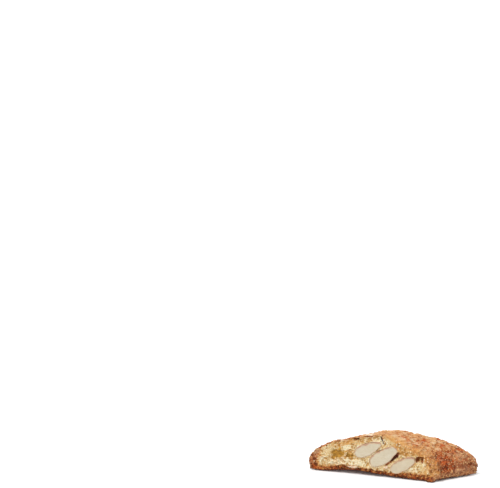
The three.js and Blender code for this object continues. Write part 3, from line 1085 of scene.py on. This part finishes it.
class BISCOTTO_OT_sugar(bpy.types.Operator):
    """Scatter sugar over the crust, most of it low down and in patches"""

    bl_idname = "biscotto.sugar"
    bl_label = "Sugar"

    def execute(self, context):
        sizes, colours = context.scene.biscotto_sizes, context.scene.biscotto_colours
        dough = bpy.data.objects["dough"]
        places, normals = points(dough)
        crust = np.empty(len(places), np.float32)
        dough.data.attributes["crust"].data.foreach_get("value", crust)
        choices = np.flatnonzero((crust > 0.95) & (places[:, 2] > CLEAR_OF_FLOOR))
        chance = 0.15 + ease(drift(places[choices], 6), -0.3, 0.4)
        chance = chance * fade(places[choices, 2], 14 * MM, 24 * MM) + 0.02
        rng = np.random.default_rng(SUGAR_SEEDS["spots"])
        picked = pick(rng, choices, sizes.crystals, chance)
        piece = scatter(
            "sugar", lump(1, 0.25, SUGAR_SEEDS["lump"]), places[picked], normals[picked],
            SUGAR_SEEDS["grains"], sizes.crystal, 0.12, SUGAR_TINTS,
        )
        material = grain_material("Sugar", colours.sugar, colours.caramel, 0.35)
        finish(piece, material, "baked_dough")
        return {"FINISHED"}


class BISCOTTO_OT_crumbs(bpy.types.Operator):
    """Scatter clinging crumbs over the two cut faces"""

    bl_idname = "biscotto.crumbs"
    bl_label = "Crumbs"

    def execute(self, context):
        sizes, colours = context.scene.biscotto_sizes, context.scene.biscotto_colours
        places, normals = points(bpy.data.objects["dough"])
        by_face = np.minimum(places[:, 1] - NEAR_Y, FAR_Y - places[:, 1]) < 1.2 * MM
        clear = places[:, 2] > CLEAR_OF_FLOOR
        choices = np.flatnonzero(by_face & clear & (np.abs(normals[:, 1]) > 0.6))
        chance = ease(places[choices, 2], 3 * MM, 5 * MM)
        rng = np.random.default_rng(CRUMB_SEEDS["spots"])
        picked = pick(rng, choices, sizes.crumbs, chance)
        piece = scatter(
            "crumbs", lump(2, 0.22, CRUMB_SEEDS["lump"]), places[picked], normals[picked],
            CRUMB_SEEDS["grains"], sizes.crumb, -0.1, CRUMB_TINTS,
        )
        material = grain_material("Crumbs", colours.cream, colours.golden, 0.85)
        finish(piece, material, "baked_dough")
        return {"FINISHED"}


# ---- Stage ----

FLOOR_WIDTH, FLOOR_GREY = 30, 0.93
# The key's turn about X and Y, its spread and strength, and the strength of the white room.
KEY_TURN = (radians(20), radians(-18), 0)
KEY_SPREAD, KEY_STRENGTH = radians(30), 2.2
ROOM_STRENGTH = 0.87
# The camera's place from the middle of the near face's foot, its tilt up from straight down,
# its turn about Z, and its lens.
CAMERA_X, CAMERA_Y, CAMERA_Z = 0.1599, -0.8392, 0.3482
CAMERA_TILT, CAMERA_TURN = radians(76.022), radians(15.408)
LENS_MM, SENSOR_MM = 115.2, 36
CLIP_NEAR, CLIP_FAR = 0.05, 60


class BISCOTTO_OT_stage(bpy.types.Operator):
    """Set up the pale floor, the soft light and the camera"""

    bl_idname = "biscotto.stage"
    bl_label = "Stage"

    def execute(self, context):
        scene = context.scene
        bpy.ops.object.select_all(action="DESELECT")
        bpy.ops.mesh.primitive_plane_add(size=FLOOR_WIDTH)
        floor = context.active_object
        floor.name = "floor"
        white, tree = new_material("White floor")
        surface(tree, Base_Color=opaque((FLOOR_GREY,) * 3), Roughness=0.9)
        floor.data.materials.append(white)

        bpy.ops.object.light_add(type="SUN")
        sun = context.active_object
        sun.name = "key"
        sun.rotation_euler = KEY_TURN
        sun.data.angle = KEY_SPREAD
        sun.data.energy = KEY_STRENGTH

        scene.world = bpy.data.worlds.new("White room")
        scene.world.use_nodes = True
        room = scene.world.node_tree.nodes["Background"].inputs
        room["Color"].default_value = (1, 1, 1, 1)
        room["Strength"].default_value = ROOM_STRENGTH

        bpy.ops.object.camera_add()
        camera = context.active_object
        camera.name = "camera"
        camera.data.sensor_width = SENSOR_MM
        camera.data.lens = LENS_MM
        camera.data.clip_start = CLIP_NEAR
        camera.data.clip_end = CLIP_FAR
        camera.location = (NEAR_X + CAMERA_X, NEAR_Y + CAMERA_Y, CAMERA_Z)
        camera.rotation_euler = (CAMERA_TILT, 0, CAMERA_TURN)
        scene.camera = camera
        scene.view_settings.view_transform = "Standard"
        return {"FINISHED"}


# ---- Add-on ----


class BISCOTTO_PT_panel(bpy.types.Panel):
    """Biscotto panel in the 3D view's sidebar"""

    bl_label = "Almond Biscotto"
    bl_space_type = "VIEW_3D"
    bl_region_type = "UI"
    bl_category = "Biscotto"

    def draw(self, context):
        for settings in (context.scene.biscotto_sizes, context.scene.biscotto_colours):
            box = self.layout.box()
            for name in settings.bl_rna.properties.keys():
                if name not in ("rna_type", "name"):
                    box.prop(settings, name)
        for operator in OPERATORS:
            self.layout.operator(operator.bl_idname)


OPERATORS = (
    BISCOTTO_OT_dough,
    BISCOTTO_OT_almonds,
    BISCOTTO_OT_sugar,
    BISCOTTO_OT_crumbs,
    BISCOTTO_OT_stage,
)
CLASSES = (BiscottoSizes, BiscottoColours, *OPERATORS, BISCOTTO_PT_panel)


def register():
    for cls in CLASSES:
        bpy.utils.register_class(cls)
    bpy.types.Scene.biscotto_sizes = bpy.props.PointerProperty(type=BiscottoSizes)
    bpy.types.Scene.biscotto_colours = bpy.props.PointerProperty(type=BiscottoColours)


def unregister():
    del bpy.types.Scene.biscotto_colours
    del bpy.types.Scene.biscotto_sizes
    for cls in reversed(CLASSES):
        bpy.utils.unregister_class(cls)


def main():
    register()
    bpy.ops.biscotto.dough()
    bpy.ops.biscotto.almonds()
    bpy.ops.biscotto.sugar()
    bpy.ops.biscotto.crumbs()
    bpy.ops.biscotto.stage()


if __name__ == "__main__":
    main()
